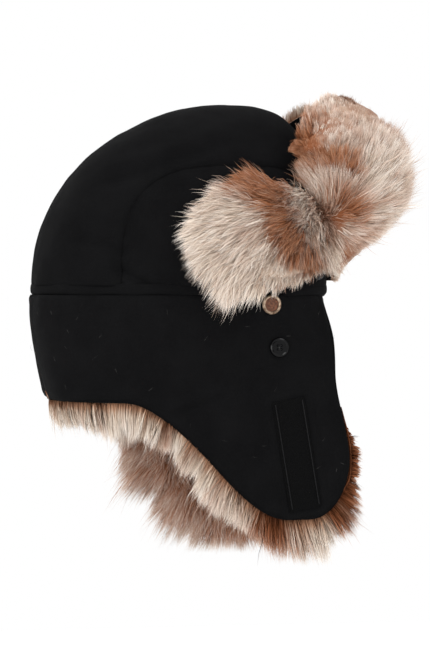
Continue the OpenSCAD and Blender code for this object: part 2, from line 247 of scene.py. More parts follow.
# ---- Mesh making
def make(name, co, faces, mat, uv=None, cloth=None, normals=None):
    """A mesh object from millimetre points; uv is per vertex and goes into the OFBake layer"""
    faces = np.asarray(faces, dtype=np.int32)
    m, k = faces.shape
    me = bpy.data.meshes.new(name)
    me.vertices.add(len(co))
    me.vertices.foreach_set("co", (np.asarray(co) * 0.001).astype(np.float32).ravel())
    me.loops.add(m * k)
    me.loops.foreach_set("vertex_index", faces.ravel())
    me.polygons.add(m)
    me.polygons.foreach_set("loop_start", np.arange(m, dtype=np.int32) * k)
    me.update(calc_edges=True)
    me.polygons.foreach_set("use_smooth", np.ones(m, dtype=bool))
    for layer, values in (("OFBake", uv), ("cloth", cloth)):
        if values is not None:
            uvl = me.uv_layers.new(name=layer)
            uvl.data.foreach_set("uv", np.asarray(values, dtype=np.float32)[faces.ravel()].ravel())
    if normals is not None:
        me.normals_split_custom_set_from_vertices(np.asarray(normals, dtype=np.float32).tolist())
    o = bpy.data.objects.new(name, me)
    bpy.context.scene.collection.objects.link(o)
    me.materials.append(mat)
    return o


def quads(r, c, start=0, closed=False):
    """The faces of a grid of r rows and c columns, whose columns may close into a ring"""
    i, j = np.meshgrid(np.arange(r - 1), np.arange(c - 1 + closed), indexing="ij")
    a, b = i * c + j, i * c + (j + 1) % c
    return np.stack([a, b, b + c, a + c], -1).reshape(-1, 4) + start


def slab(name, outer, inner, mat):
    """A closed piece between an outer and an inner grid; the cloth layer holds lengths along the cloth"""
    r, c, _ = outer.shape
    n = r * c
    over, below = quads(r, c), quads(r, c, n)[:, ::-1]
    i, j = np.arange(r - 1), np.arange(c - 1)
    first_row = np.stack([j, j + n, j + 1 + n, j + 1], -1)
    last_row = np.stack([j, j + 1, j + 1 + n, j + n], -1) + (r - 1) * c
    first_col = np.stack([i * c, i * c + c, i * c + c + n, i * c + n], -1)
    last_col = np.stack([i * c, i * c + n, i * c + c + n, i * c + c], -1) + c - 1
    faces = np.concatenate([over, below, first_row, last_row, first_col, last_col])
    co = np.concatenate([outer.reshape(-1, 3), inner.reshape(-1, 3)])
    g = co[faces]
    signed_volume = np.sum(np.cross(g[:, 1] - g[:, 0], g[:, 2] - g[:, 0]) * g[:, 0])
    if signed_volume < 0:
        faces = faces[:, ::-1]
    v, u = np.meshgrid(np.linspace(0.01, 0.99, r), np.linspace(0.01, 0.49, c), indexing="ij")
    uv = np.concatenate([stack(u, v).reshape(-1, 2), stack(u + 0.5, v).reshape(-1, 2)])
    du = np.linalg.norm(np.diff(outer, axis=1), axis=-1)
    dv = np.linalg.norm(np.diff(outer, axis=0), axis=-1)
    cu = np.concatenate([np.zeros((r, 1)), np.cumsum(du, axis=1)], 1)
    cv = np.concatenate([np.zeros((1, c)), np.cumsum(dv, axis=0)], 0)
    cloth = stack(cu - cu[:, c // 2 : c // 2 + 1], cv)
    return make(name, co, faces, mat, uv, np.concatenate([cloth.reshape(-1, 2)] * 2))


# ---- Materials
def material(name):
    m = bpy.data.materials.new(name)
    m.use_nodes = True
    nt = m.node_tree
    bsdf = nt.nodes["Principled BSDF"]
    return m, nt, bsdf


def add(nt, kind, **sockets):
    n = nt.nodes.new(kind)
    for k, v in sockets.items():
        if hasattr(n, k):
            setattr(n, k, v)
        else:
            n.inputs[k.replace("_", " ")].default_value = v
    return n


def srgb(r, g, b):
    c = np.array([r, g, b]) / 255
    c = np.where(c <= 0.04045, c / 12.92, ((c + 0.055) / 1.055) ** 2.4)
    return (float(c[0]), float(c[1]), float(c[2]), 1.0)


def ramp(nt, fac, stops):
    r = nt.nodes.new("ShaderNodeValToRGB")
    els = r.color_ramp.elements
    while len(els) < len(stops):
        els.new(0.5)
    for e, (at, col) in zip(els, stops):
        e.position, e.color = at, col
    nt.links.new(fac, r.inputs[0])
    return r.outputs[0]


def noise_node(nt, scale, detail=3.0, rough=0.55):
    n = add(nt, "ShaderNodeTexNoise", Scale=scale, Detail=detail, Roughness=rough)
    nt.links.new(nt.nodes.new("ShaderNodeTexCoord").outputs["Object"], n.inputs["Vector"])
    return n.outputs["Fac"]


def bump(nt, bsdf, height, distance, strength=1.0, after=None):
    b = add(nt, "ShaderNodeBump", Strength=strength, Distance=distance)
    nt.links.new(height, b.inputs["Height"])
    if after is not None:
        nt.links.new(after, b.inputs["Normal"])
    nt.links.new(b.outputs[0], bsdf.inputs["Normal"])
    return b.outputs[0]


def math_node(nt, op, a, b):
    n = nt.nodes.new("ShaderNodeMath")
    n.operation = op
    for i, v in enumerate((a, b)):
        if hasattr(v, "is_output"):
            nt.links.new(v, n.inputs[i])
        else:
            n.inputs[i].default_value = v
    return n.outputs[0]


WAVE_PITCH = 0.314  # the width of one band of a wave texture at scale 1


def cloth_material(name, dark, light, pitch, sheen, rough, weave):
    """Woven cloth: two crossed rows of threads, pitch millimetres apart, with faint dust and wear"""
    m, nt, b = material(name)
    uvm = add(nt, "ShaderNodeUVMap", uv_map="cloth").outputs[0]
    waves = []
    for axis in ("X", "Y"):
        w = nt.nodes.new("ShaderNodeTexWave")
        w.wave_type, w.bands_direction = "BANDS", axis
        w.inputs["Scale"].default_value = WAVE_PITCH / pitch
        w.inputs["Distortion"].default_value = 0.4
        w.inputs["Detail"].default_value = 1
        nt.links.new(uvm, w.inputs["Vector"])
        waves.append(w.outputs["Fac"])
    threads = math_node(nt, "MAXIMUM", *waves)
    broad, fine = noise_node(nt, 35), noise_node(nt, 900, 2)
    halves = [math_node(nt, "MULTIPLY", part, 0.5) for part in (broad, fine)]
    tone = math_node(nt, "ADD", *halves)
    nt.links.new(ramp(nt, tone, [(0.35, dark), (0.68, light)]), b.inputs["Base Color"])
    b.inputs["Roughness"].default_value = rough
    b.inputs["Specular IOR Level"].default_value = 0.05
    b.inputs["Sheen Weight"].default_value = sheen
    b.inputs["Sheen Roughness"].default_value = 0.5
    first = bump(nt, b, threads, weave)
    bump(nt, b, fine, 0.0002, 0.6, first)
    return m


def fur_material(name):
    """Pile: u is the strand's own tint from cream to brown, v runs from its root to its tip"""
    m, nt, b = material(name)
    sep = nt.nodes.new("ShaderNodeSeparateXYZ")
    nt.links.new(add(nt, "ShaderNodeUVMap", uv_map="OFBake").outputs[0], sep.inputs[0])
    u, v = sep.outputs[0], sep.outputs[1]
    cream = ramp(nt, v, [(0.0, srgb(112, 76, 54)), (0.15, srgb(166, 128, 102)), (0.36, srgb(212, 194, 176)),
                         (0.65, srgb(240, 229, 216)), (1.0, srgb(253, 248, 243))])
    brown = ramp(nt, v, [(0.0, srgb(66, 34, 18)), (0.35, srgb(128, 72, 40)), (0.72, srgb(170, 106, 64)),
                         (1.0, srgb(212, 168, 132))])
    mx = nt.nodes.new("ShaderNodeMix")
    mx.data_type = "RGBA"
    nt.links.new(u, mx.inputs[0])
    nt.links.new(cream, mx.inputs[6])
    nt.links.new(brown, mx.inputs[7])
    nt.links.new(mx.outputs[2], b.inputs["Base Color"])
    b.inputs["Roughness"].default_value = 0.62
    b.inputs["Specular IOR Level"].default_value = 0.08
    return m, nt, b


black = cloth_material("black_cloth", (0.0034, 0.0034, 0.0037, 1), (0.0062, 0.0062, 0.0066, 1),
                       pitch=0.45, sheen=0.0, rough=1.0, weave=0.00012)
lining = cloth_material("quilted_lining", (0.012, 0.012, 0.013, 1), (0.022, 0.022, 0.024, 1),
                        pitch=0.3, sheen=0.1, rough=0.55, weave=0.00006)
fur, _, _ = fur_material("fur_pile")
under, unt, ub = fur_material("fur_undercoat")
bump(unt, ub, noise_node(unt, 700, 4, 0.7), 0.0012, 0.8)


def trim_material(name, dark, light, rough, scale, depth, **sockets):
    """Plastic, thread, metal or tape: mottled between two colours, with a relief of the same pattern"""
    m, nt, b = material(name)
    n = noise_node(nt, scale, 4, 0.65)
    nt.links.new(ramp(nt, n, [(0.35, dark), (0.7, light)]), b.inputs["Base Color"])
    b.inputs["Roughness"].default_value = rough
    b.inputs["Specular IOR Level"].default_value = 0.1
    for k, v in sockets.items():
        b.inputs[k.replace("_", " ")].default_value = v
    bump(nt, b, n, depth)
    return m


plastic = trim_material("black_plastic", srgb(1, 1, 2), srgb(5, 5, 6), 0.14, 420, 0.00002,
                        Specular_IOR_Level=0.17)
thread = trim_material("black_thread", srgb(11, 11, 12), srgb(30, 30, 31), 0.8, 1500, 0.00012)
brass = trim_material("antique_brass", srgb(104, 80, 64), srgb(222, 198, 172), 0.38, 260, 0.00004,
                      Metallic=0.75)
enamel = trim_material("brown_enamel", srgb(62, 38, 28), srgb(128, 84, 62), 0.5, 700, 0.0001,
                       Specular_IOR_Level=0.2)
loop = trim_material("loop_pile", (0.0006, 0.0006, 0.0007, 1), (0.0034, 0.0034, 0.0036, 1),
                     1.0, 1300, 0.0009)
lint = trim_material("lint", srgb(42, 42, 42), srgb(84, 82, 80), 0.9, 900, 0.00005)
hook = trim_material("hook_tape", srgb(9, 9, 10), srgb(26, 26, 27), 0.7, 1600, 0.0008)

# ---- Crown: one centre panel and two side panels, each padded, with a lining inside
CENTRE = np.array([0.0, -MID, 0.0])


def fold_line(f, z, a, b, width):
    """How near points in side view lie to a soft fold from a to b"""
    a, b = np.array(a, float), np.array(b, float)
    ab = b - a
    t = ((f - a[0]) * ab[0] + (z - a[1]) * ab[1]) / (ab @ ab)
    d = np.hypot(f - a[0] - t * ab[0], z - a[1] - t * ab[1])
    return np.exp(-((d / width) ** 2)) * smooth(t / 0.25) * smooth((1 - t) / 0.25)


def folded(h, f, z, folds):
    """A relief h with its soft folds, each given as its height, its two ends and its width"""
    for height, start, end, width in folds:
        h = h + height * fold_line(f, z, start, end, width)
    return h


CROWN_FOLDS = (
    (-2.6, (-112, 74), (2, 112), 4), (1.6, (-112, 84), (2, 122), 6),
    (-2.6, (-104, 16), (-70, -2), 3), (1.6, (-98, 24), (-62, 4), 4),
    (-1.6, (-128, 36), (-82, 22), 3), (0.9, (-128, 44), (-82, 30), 4))


def crown_relief(p):
    """Height of the cloth's soft folds, puffs and seams over the smooth crown"""
    f, z = -p[..., 1] - MID, p[..., 2] - BASE
    psi = np.arctan2(z, f)
    gap = np.hypot(f, z) - seam_radius(psi)
    h = 1.3 * noise(p, 42, 3) + 0.8 * noise(p, 19, 4) + 0.25 * noise(p, 8, 5) - 1.3
    h = h + 0.9 * np.exp(-(((abs(gap) - 8) / 7) ** 2)) - 1.1 * np.exp(-((gap / 1.8) ** 2))
    h = h + 0.35 * np.sin(psi * seam_radius(psi) / 2.6 + 2 * noise(p, 20, 8)) * np.exp(-abs(gap) / 5)
    h = folded(h, f, z, CROWN_FOLDS)
    h = h + 0.7 * np.exp(-((z / 9) ** 2))
    h = h + 0.5 * np.sin(np.arctan2(p[..., 0], f) * 14 + 3 * noise(p, 30, 6)) * np.exp(-z / 12)
    return h


LINING_DEPTH, QUILT_PITCH, QUILT_HEIGHT = 6.6, 24.0, 0.9


def crown_piece(name, point, r_axis, c_axis, nodes, trims=()):
    """A padded panel: its outer face carries the relief, its inner face is the quilted lining"""
    outer = point(r_axis, c_axis, 0.0)
    n = grid_normals(outer, CENTRE)
    h = crown_relief(outer) + 0.25
    for trim in trims:
        h = mix(h, 0.9, under_trim(outer, trim))
    out = outer + h[..., None] * n
    inner = point(r_axis, c_axis, LINING_DEPTH)
    y, z = inner[..., 1] * np.pi / QUILT_PITCH, inner[..., 2] * np.pi / QUILT_PITCH
    diamond = np.sin(y + z) * np.sin(y - z)
    inner = inner + (QUILT_HEIGHT * (1 - abs(diamond) ** 0.4))[..., None] * n
    o = slab(name, out, inner, black)
    o.data.materials.append(lining)
    r, c, _ = out.shape
    face_count = (r - 1) * (c - 1)
    material_index = np.zeros(len(o.data.polygons), dtype=np.int32)
    material_index[face_count : 2 * face_count] = 1
    o.data.polygons.foreach_set("material_index", material_index)
    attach(o, "hat")
    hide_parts(*nodes)


def centre_point(psi, u, d):
    """The centre panel over an angle psi from front to nape and a share u of its width"""
    psi, u = np.meshgrid(np.deg2rad(psi), u, indexing="ij")
    s0 = (seam_radius(psi) + 0.05) / crown_reach(psi)
    return crown_point(np.where(u < 0, -1.0, 1.0), psi, 1 - (1 - s0) * u * u, d)


CORNER = np.deg2rad(30)


def crown_side(side, word):
    """A side panel, filled in between its curved front, top and rear edges and its straight lower edge"""
    def edge_at(psi):
        return (seam_radius(psi) - 0.05)[..., None] * stack(np.cos(psi), np.sin(psi))

    def point(v, p, d):
        v, p = np.meshgrid(v, p, indexing="ij")
        low = stack(mix(-PANEL_REAR, PANEL_FRONT, p) * 0.9994, 0 * p)
        top = edge_at(mix(np.pi - CORNER, CORNER, p))
        high = mix(edge_at(np.pi - CORNER + 0 * p), edge_at(CORNER + 0 * p), p[..., None])
        ends = mix(edge_at(np.pi - CORNER * v), edge_at(CORNER * v), p[..., None])
        q = mix(low, top, v[..., None]) + ends - mix(low, high, v[..., None])
        return crown_above(side, q[..., 0], q[..., 1], d)

    nodes = [kind + word for kind in ("crown_side_panel_", "crown_wadding_", "crown_lining_")]
    crown_piece("crown_side_cloth_" + word, point, np.linspace(0, 1, 81), np.linspace(0, 1, 121),
                nodes, ["corner_button_" + word])


crown_piece("crown_centre_cloth", centre_point, np.linspace(180, 0, 171), np.linspace(-1, 1, 121),
            ["crown_centre_panel", "crown_wadding_centre", "crown_lining_centre"])
for side, word in SIDES:
    crown_side(side, word)

# ---- Seam tape in the recess between crown and curtain
TAPE_PROFILE = ((1.4, 5.2), (0.5, 4.4), (0.2, 3.6), (0.0, 2.4), (-0.1, 0.8), (0.0, -0.8),
                (0.3, -2.0), (0.9, -2.9), (2.0, -4.4), (4.2, -5.4), (4.2, 5.0))


def seam_tape():
    """A ring whose cross-section is given as distances inside the crown's edge and heights"""
    a = np.linspace(0, 2 * np.pi, 241)[:-1]
    back = np.cos(a) > 0
    e = 2 / np.where(back, 2.4, 2.3)
    ring = []
    for w, z in TAPE_PROFILE:
        reach = np.where(back, BACK, FRONT) - w
        ring.append(stack((HALF_W - w) * np.sign(np.sin(a)) * abs(np.sin(a)) ** e,
                          -MID + reach * np.sign(np.cos(a)) * abs(np.cos(a)) ** e, z + 0 * a))
    ring = np.stack(ring)
    rows, cols = ring.shape[:2]
    walk = np.concatenate([[0], np.cumsum(np.linalg.norm(np.diff(ring[0], axis=0), axis=-1))])
    here = np.arange(cols)
    ahead = (here + 1) % cols
    last = (rows - 1) * cols
    closing = np.stack([here + last, ahead + last, ahead, here], -1)
    faces = np.concatenate([quads(rows, cols, 0, True), closing])
    o = make("seam_tape_cloth", ring.reshape(-1, 3), faces[:, ::-1], black,
             cloth=stack(walk[None], ring[..., 2]).reshape(-1, 2))
    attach(o, "hat")
    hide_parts("seam_tape")


seam_tape()


# ---- Curtain cloth: each half runs from the nape to the front edge, and over the fold to the flap's tip
def curtain_sheet(rows, rear_cols, front_cols, past):
    """Grids of eta and z: columns from the nape to the front edge, rows from the seam to past the hem"""
    t = np.linspace(0, 1, rows)
    eta, zz = [], []
    rear = curtain_eta(np.array(FLAP_REAR), np.array(-NECK))
    for c in range(rear_cols):
        a = c / rear_cols
        f = -curtain_face(mix(np.pi / 2, rear, a), np.array(-NECK))[1]
        z = mix(-BASE, -hem_drop(f) - 0.3 * past, t)
        eta.append(mix(np.pi / 2, curtain_eta(FLAP_REAR + 0 * z, z), a))
        zz.append(z)
    for p in np.linspace(0, 1, front_cols):
        fb, zb = hem(p, past)
        z = mix(-BASE, zb, t)
        f = mix(mix(FLAP_REAR, FRONT_EDGE, p), fb, t)
        f = f + p ** 3 * (front_edge(z) - mix(FRONT_EDGE, front_edge(zb), t))
        eta.append(curtain_eta(f, z))
        zz.append(z)
    return np.stack(eta, 1), np.stack(zz, 1)


CURTAIN_FOLDS = (
    (-1.5, (-32, -97), (26, -76), 3.2), (0.9, (-30, -90), (26, -70), 4),
    (-1.1, (-96, -20), (-70, -70), 5), (0.8, (-84, -20), (-60, -66), 5))


def curtain_relief(p, f, z, edge):
    """Height of the curtain's folds and puckers, rolled down at its edges"""
    h = 1.1 * noise(p, 40, 13) + 0.7 * noise(p, 18, 14) + 0.22 * noise(p, 8, 15) - 1.1
    h = h + 0.6 * np.exp(-(((z + BASE + 3) / 4) ** 2)) - 0.9 * np.exp(-(((z + BASE) / 1.5) ** 2))
    h = h + 0.5 * np.sin(f / 5.5 + 3 * noise(p, 28, 16)) * np.exp((z + BASE) / 11)
    h = folded(h, f, z, CURTAIN_FOLDS)
    return h - 1.4 * smooth(1 - edge / 3.0) + 0.8 * np.exp(-(((edge - 7) / 4) ** 2))


def flap_weight(p):
    """0 above the fold and at the nape, 1 below the fold"""
    f, z = -p[:, 1], p[:, 2]
    return smooth((fold_z(f) - z + 5) / 10) * smooth((f + 58) / 24)


def blend_piece(o, weights=None, rule=None):
    """Bakes the piece's transform into its mesh and works out the second body's share at each vertex, which
    nothing then uses
    """
    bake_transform(o)
    if weights is None:
        co = np.empty(len(o.data.vertices) * 3, dtype=np.float32)
        o.data.vertices.foreach_get("co", co)
        weights = rule(co.reshape(-1, 3) * 1000)


def blend_flap(o, side, word, weights=None):
    """Bakes a piece's transform and works out its share of the ear flap, which nothing then uses"""
    blend_piece(o, weights, flap_weight)


def blend_visor(o, weights=None):
    """Bakes a piece's transform and works out its share of the visor's middle, which nothing then uses"""
    blend_piece(o, weights, visor_weight)


def visor_weight(p):
    """1 over the visor's middle, falling to 0 towards the tacked corners"""
    return smooth((86 - abs(p[:, 0])) / 46)


def curtain_cloth(side, word):
    """The padded black sheet of one half, reaching down over the ear flap's fold"""
    eta, z = curtain_sheet(124, 58, 108, -6.0)
    face = curtain_point(side, eta, z)
    n = curtain_normal(eta, z) * [side, 1, 1]
    f = -face[..., 1]
    to_hem = np.linalg.norm(face - face[-1:], axis=-1)
    edge = np.minimum(to_hem, np.linalg.norm(face - face[:, -1:], axis=-1))
    trims = ["snap_cap_" + word, "cheek_button_" + word] + (["loop_strip"] if side == RIGHT else [])
    h = mix(curtain_relief(face, f, z, edge), 0.45, under_trim(face, *trims))
    outer = face + (h + 0.2)[..., None] * n
    inner = face - (5.0 * smooth(edge / 5) + 1.6)[..., None] * n
    o = slab("curtain_cloth_" + word, outer, inner, black)
    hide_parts(*(["curtain_shell", "curtain_wadding"] if side == RIGHT else []),
                "ear_flap_shell_" + word, "ear_flap_wadding_" + word)
    blend_flap(o, side, word)


for side, word in SIDES:
    curtain_cloth(side, word)


# ---- Hair
INSIDE = 0.03, 0.97  # tints and shades stay off the ends of the colour ramps
SEGMENTS = 4
SOFTNESS = 0.35  # how far a strand is lit as part of the whole pile


def kept_inside(root, pts, share):
    """Strands scaled towards their roots where they would pass LIMITS, the CAD box made a little larger"""
    reach = pts - root[:, None]
    ahead = (LIMITS[1] - root)[:, None] / np.maximum(reach, 1e-6)
    behind = (root - LIMITS[0])[:, None] / np.maximum(-reach, 1e-6)
    room = np.where(reach > 0, ahead, behind).min(axis=(1, 2))
    return root[:, None] + reach * np.minimum(1, room * share)[:, None, None]


def ribbon_tris():
    """The triangles of one ribbon: vertices in pairs from the root on, and one at its tip"""
    tris = []
    for s in range(SEGMENTS - 1):
        tris += [(2 * s, 2 * s + 1, 2 * s + 3), (2 * s, 2 * s + 3, 2 * s + 2)]
    return np.array(tris + [(2 * SEGMENTS - 2, 2 * SEGMENTS - 1, 2 * SEGMENTS)])


def grow(name, p, n, flow, length, tint, count, seed, weight=None, lay=0.0, width=0.72, lean=(34, 74),
         droop=0.25, pull=0.8, spread=0.28, slot="visor_fur", jitter=0.2, wild=0.04, lock=2.5, wave=1.0,
         mess=8.0, fade=0.08):
    """Tapered strands rooted on a grid surface and gathered into locks; a field is a grid as large as p"""
    r = np.random.default_rng(seed)
    shape = p.shape[:2]
    weight = np.ones(shape) if weight is None else weight
    d1, d2 = p[1:, :-1] - p[:-1, :-1], p[:-1, 1:] - p[:-1, :-1]
    area = np.linalg.norm(np.cross(d1, d2), axis=-1)
    share = area * (weight[1:, 1:] + weight[:-1, :-1])
    cell = r.choice(area.size, count, p=share.ravel() / share.sum())
    i, j = np.unravel_index(cell, area.shape)
    a, b = r.random(count), r.random(count)
    corners = [((1 - a) * (1 - b), 0, 0), (a * (1 - b), 1, 0), ((1 - a) * b, 0, 1), (a * b, 1, 1)]

    def at(g):
        g = np.broadcast_to(g, shape) if np.ndim(g) < 3 else g
        return sum(w[:, None] * g[i + di, j + dj].reshape(count, -1) for w, di, dj in corners)

    root, nor, fl = at(p), unit(at(n)), unit(at(flow))
    across = np.cross(nor, fl)
    waves = 0.45 * noise(root, 16, seed + 5) + 0.2 * noise(root, 6, seed + 6)
    turn = r.normal(0, spread, count) + wave * waves
    fl = unit(fl + turn[:, None] * across)
    loose = r.random(count) < wild
    ln = at(length)[:, 0] * r.uniform(1 - jitter, 1 + 0.5 * jitter, count) * (1 + 0.3 * loose)
    ln = ln * (1 + 0.14 * noise(root, 8, seed + 7))
    more = at(lay)[:, 0]
    up = np.deg2rad(np.clip(lean[0] + more + r.normal(0, mess, count) - 10 * loose, 4, 84))
    down = np.deg2rad(np.clip(lean[1] + more / 2 + r.normal(0, mess, count) - 20 * loose, 8, 88))
    pts, here = [root], root
    for k in range(SEGMENTS):
        t = (k + 0.5) / SEGMENTS
        th = mix(up, down, t ** 0.8)
        d = nor * np.cos(th)[:, None] + fl * np.sin(th)[:, None] + np.array([0, 0, -droop]) * t * t
        here = here + unit(d + 0.1 * r.normal(0, 1, (count, 3)) * (0.4 + t)) * (ln / SEGMENTS)[:, None]
        pts.append(here)
    pts = np.stack(pts, 1)
    t = np.linspace(0, 1, SEGMENTS + 1)
    for spacing, hold in ((lock * 3, pull * 0.35), (lock, pull)):
        pick = r.choice(count, min(max(8, int(area.sum() / spacing ** 2)), count), replace=False)
        tree = kdtree.KDTree(len(pick))
        for k, g in enumerate(pick):
            tree.insert(Vector(root[g]), k)
        tree.balance()
        mine = np.array([tree.find(Vector(x))[1] for x in root])
        near = pick[mine]
        own = hold * r.uniform(0.55, 1.0, count) * (1 - 0.75 * loose)
        w = (own[:, None] * t[None] ** 1.3)[..., None]
        scale = (ln / np.maximum(ln[near], 1))[:, None, None]
        gap = (root - root[near])[:, None]
        target = root[near][:, None] + (pts[near] - root[near][:, None]) * scale + 0.22 * gap
        pts = pts * (1 - w) + target * w
    pts = kept_inside(root, pts, r.uniform(0.85, 1, count))
    tone, depth = r.normal(0, 1, len(pick))[mine], r.random(len(pick))[mine]
    tan = unit(np.gradient(pts, axis=1))
    roll = r.normal(0, 0.7, count)[:, None, None]
    flat = unit(np.cross(tan, nor[:, None]))
    wv = unit(flat * np.cos(roll) + np.cross(flat, tan) * np.sin(roll))
    prof = (0.6 + 0.4 * np.sin(np.pi * np.minimum(1, t * 1.5 + 0.1))) * (1 - t ** 2.4) ** 0.8
    ws = (width / 2 * prof[None] * r.uniform(0.7, 1.3, count)[:, None])[..., None]
    fn = np.cross(wv, tan)
    fn = fn * np.sign(np.sum(fn * nor[:, None], axis=-1, keepdims=True))
    k = 2 * SEGMENTS + 1
    co, rib = np.empty((count, k, 3)), np.empty((count, k, 3))
    for grid, left, right, tip in ((co, pts - wv * ws, pts + wv * ws, pts), (rib, fn, fn, fn)):
        grid[:, 0:-1:2] = left[:, :-1]
        grid[:, 1:-1:2] = right[:, :-1]
        grid[:, -1] = tip[:, -1]
    tris = ribbon_tris()
    g = co[:, tris[0]]
    away = np.sum(np.cross(g[:, 1] - g[:, 0], g[:, 2] - g[:, 0]) * nor, axis=1) < 0
    faces = tris[None] + (np.arange(count) * k)[:, None, None]
    faces[away] = faces[away][..., ::-1]
    fade = at(fade)
    hue = at(tint)[:, 0] + 0.17 * tone + r.normal(0, 0.11, count) + 0.2 * noise(root, 8, seed + 9)
    hue = np.clip(hue, *INSIDE)
    tu = np.concatenate([np.tile([-0.02, 0.02], SEGMENTS), [0.0]])
    tv = np.concatenate([np.repeat(t[:-1], 2), [1.0]])
    shade = (1 - 0.55 * depth ** 3 - 0.22 * r.random(count) ** 2)[:, None]
    vv = np.clip(0.02 + 0.96 * tv[None] * shade, 0, 1)
    uu = np.clip(hue[:, None] * (1 - fade * tv[None] ** 6), *INSIDE) + tu[None]
    normals = unit(nor[:, None] * SOFTNESS + rib * (1 - SOFTNESS))
    o = make(name, co.reshape(-1, 3), faces.reshape(-1, 3), fur, stack(uu, vv).reshape(-1, 2),
             normals=normals.reshape(-1, 3))
    return o, root, k


def pelt(name, base, n, depth, tint, shade, seed):
    """The dense undercoat: a lumpy closed skin from the cloth up to part of the pile's depth"""
    r, c, _ = base.shape
    i, j = np.meshgrid(np.arange(r), np.arange(c), indexing="ij")
    e = np.clip(np.minimum(np.minimum(i, r - 1 - i), np.minimum(j, c - 1 - j)) / 5, 0, 1)
    lumps = 1 + 0.22 * noise(base, 11, seed) + 0.16 * noise(base, 5, seed + 1)
    d = depth * lumps * (0.1 + 0.9 * np.sin(e * np.pi / 2))
    o = slab(name, base + d[..., None] * n, base, under)
    t = np.clip(tint + 0.16 * noise(base, 9, seed + 9) + 0.15, *INSIDE)
    v = np.clip(shade + 0.1 * noise(base, 4, seed + 3) + 0.05 * noise(base, 2, seed + 4), *INSIDE)
    uv = np.concatenate([stack(t, v).reshape(-1, 2), stack(t, 0 * v + 0.2).reshape(-1, 2)])
    idx = np.empty(len(o.data.loops), dtype=np.int32)
    o.data.loops.foreach_get("vertex_index", idx)
    o.data.uv_layers["OFBake"].data.foreach_set("uv", uv[idx].astype(np.float32).ravel())
    return o


def project(v, n):
    """The direction of v along the surface whose normal is n"""
    return unit(v - np.sum(v * n, axis=-1, keepdims=True) * n)


def patches(p, size, seed, low=0.1):
    """Soft islands of a darker tint"""
    return np.clip(noise(p, size, seed) + low, 0, 1)


def spot(u, v, au, av, rad):
    """1 at one place on each half of the visor, falling to 0 around it"""
    return np.exp(-(((abs(u) - au) / rad) ** 2) - ((v - av) / (rad * 1.3)) ** 2)


# ---- Visor and its wings
VISOR_SPOTS = ((0.85, 0.88, 0.68, 0.055), (0.85, 0.93, 0.5, 0.05), (0.85, 0.86, 0.27, 0.065),
               (0.75, 0.7, 0.16, 0.1), (0.6, 0.8, 0.42, 0.1), (0.35, 0.6, 0.3, 0.07))
PINCH_V = 0.46
STRANDS, INNER_STRANDS = 27500, 20000
PILE_HEIGHT, PILE_EDGE = 3.2, 3.0


def visor_tint(U, V, pile):
    """Cream with brown patches: in the middle, at the upper corners and in a chain down each end; a browner
    band over the top is painted shade, and the browner fur at the pinch by each end is partly the fur's own
    brown and partly painted shade in the cleft beside the wing
    """
    tint = 0.02 + 0.3 * patches(pile, 24, 31, -0.1) + 0.18 * patches(pile, 12, 32)
    tint = tint + 0.22 * smooth((0.55 - abs(U)) / 0.3)
    tint = tint + 0.85 * smooth((abs(U) - 0.86) / 0.07) * smooth((V - 0.68) / 0.1)
    for strength, at_u, at_v, radius in VISOR_SPOTS:
        tint = tint + strength * spot(U, V, at_u, at_v, radius)
    # painted shade: the fur over the visor's top is tinted browner so that it looks darker
    tint = tint + 0.24 * smooth((V - 0.58) / 0.2)
    # partly the fur's own brown and partly painted shade: browner at each end beside the pinch, in the
    # cleft next to the wing
    tint = tint + 0.25 * smooth((abs(U) - 0.88) / 0.06) * np.exp(-(((V - 0.52) / 0.24) ** 2))
    return tint + 0.5 * smooth((V - 0.9) / 0.08) * smooth((abs(U) - 0.62) / 0.15)


